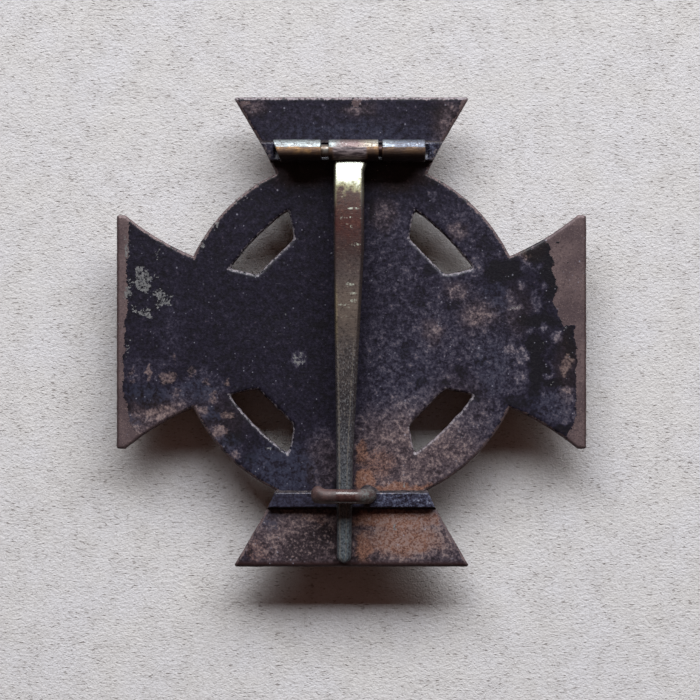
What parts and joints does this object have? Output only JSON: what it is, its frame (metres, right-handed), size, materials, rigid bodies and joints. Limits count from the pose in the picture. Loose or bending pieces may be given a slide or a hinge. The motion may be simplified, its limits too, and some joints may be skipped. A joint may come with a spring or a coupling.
{
  "type": "cap badge",
  "caption": "Pierced cross badge with a raised centre, a tube hinge, a bowed brooch pin and a wire hook that catches it.",
  "frame": {"origin": "middle of the badge, in the foremost plane of its raised centre, on which it rests face down", "axes": "+Z from the front to the back, towards the pin; +Y from the catch towards the hinge; +X to the right when the back is seen with the hinge uppermost"},
  "size_m": [0.042, 0.042, 0.0068],
  "materials": {
    "lacquered_plate": "satin",
    "aged_bronze": "satin",
    "dark_strip": "satin",
    "solder": "satin",
    "tarnished_brass": "satin",
    "steel_wire": "satin",
    "copper_wire": "satin"
  },
  "bodies": {
    "badge": {"cross_plate": "lacquered_plate", "medallion_disc": "aged_bronze", "medallion_border": "aged_bronze", "rosette": "aged_bronze", "hinge_strip": "dark_strip", "hinge_strip_solder": "solder", "hinge_knuckle_left": "tarnished_brass", "hinge_knuckle_right": "tarnished_brass", "hinge_rod": "steel_wire", "catch_strip": "dark_strip", "catch_strip_solder": "solder", "catch_hook": "copper_wire", "hook_solder": "solder"},
    "pin": {"brooch_pin": "tarnished_brass"}
  },
  "joints": [
    {"name": "pin_swing", "type": "hinge", "parent": "badge", "child": "pin", "pos_m": [0, 0.0161, 0.0049], "axis": [-1, 0, 0], "range_deg": [0, 174]}
  ]
}
